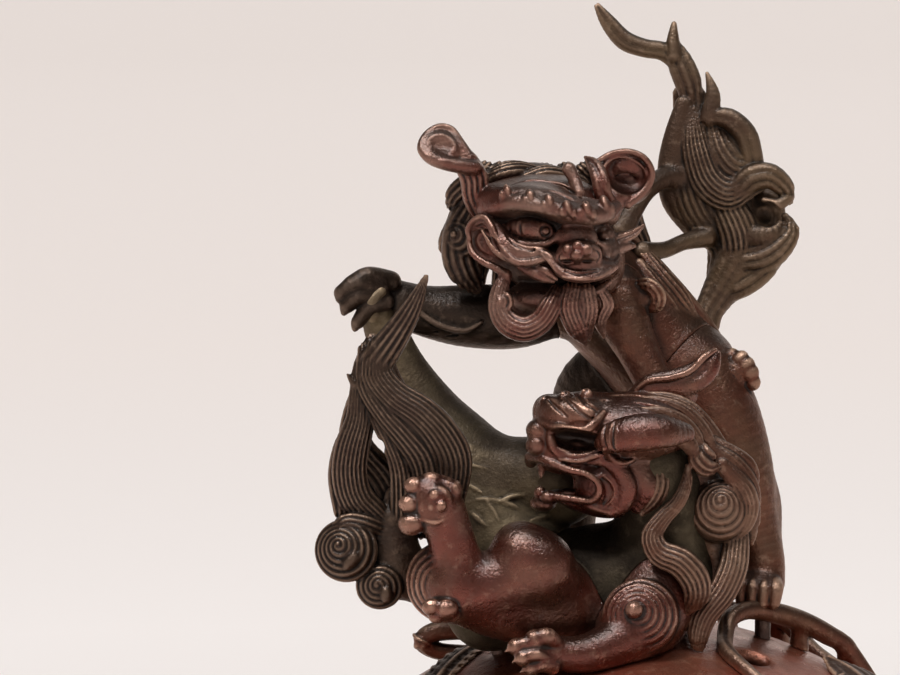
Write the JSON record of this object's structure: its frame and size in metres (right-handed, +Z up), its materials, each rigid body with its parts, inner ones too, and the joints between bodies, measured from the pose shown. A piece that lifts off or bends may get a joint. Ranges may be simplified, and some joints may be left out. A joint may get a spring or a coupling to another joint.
{
  "type": "incense burner",
  "caption": "Footed bronze bowl with side handles, a lift-out ash liner and a pierced domed cover on which guardian lions wrestle among vine stems and leaves.",
  "frame": {"origin": "centre of the base, on the table the feet stand on", "axes": "+Z up through the middle of the bowl and cover, +X to the viewer's right, -Y towards the viewer, who sees the lions side on"},
  "size_m": [0.196, 0.148, 0.2599],
  "materials": {
    "bronze": "patinated bronze, waxed, olive in the hollows",
    "bronze_red": "patinated bronze, rubbed red-brown",
    "bronze_dark": "patinated bronze, chased with fine grooves",
    "copper": "dull sheet copper"
  },
  "bodies": {
    "base": {"bowl": "bronze", "bowl_shoulder": "bronze", "foot_left": "bronze", "foot_right": "bronze", "foot_back": "bronze", "foot_rivets": "bronze_dark", "handle_left": "bronze", "handle_right": "bronze", "handle_rivets": "bronze_dark"},
    "liner": {"ash_liner": "copper"},
    "cover": {"lid": "bronze", "vine_right": "bronze", "vine_left": "bronze", "vine_back": "bronze", "leaf_front_left": "bronze", "leaf_front": "bronze", "leaf_right": "bronze", "lower_lion_torso": "bronze", "lower_lion_head": "bronze_red", "lower_lion_mane": "bronze_dark", "lower_lion_tail": "bronze_dark", "lower_lion_near_foreleg": "bronze_red", "lower_lion_far_foreleg": "bronze", "lower_lion_near_hind_leg": "bronze_red", "lower_lion_far_hind_leg": "bronze", "upper_lion_torso": "bronze", "upper_lion_head": "bronze_red", "upper_lion_mane": "bronze_dark", "upper_lion_tail": "bronze_dark", "upper_lion_reaching_arm": "bronze", "upper_lion_standing_arm": "bronze", "upper_lion_near_hind_leg": "bronze", "upper_lion_far_hind_leg": "bronze", "lion_rivets": "bronze_dark"}
  },
  "joints": [
    {"name": "cover_lift", "type": "slide", "parent": "base", "child": "cover", "axis": [0, 0, 1], "range_m": [0, 0.12]},
    {"name": "liner_lift", "type": "slide", "parent": "base", "child": "liner", "axis": [0, 0, 1], "range_m": [0, 0.04]}
  ]
}
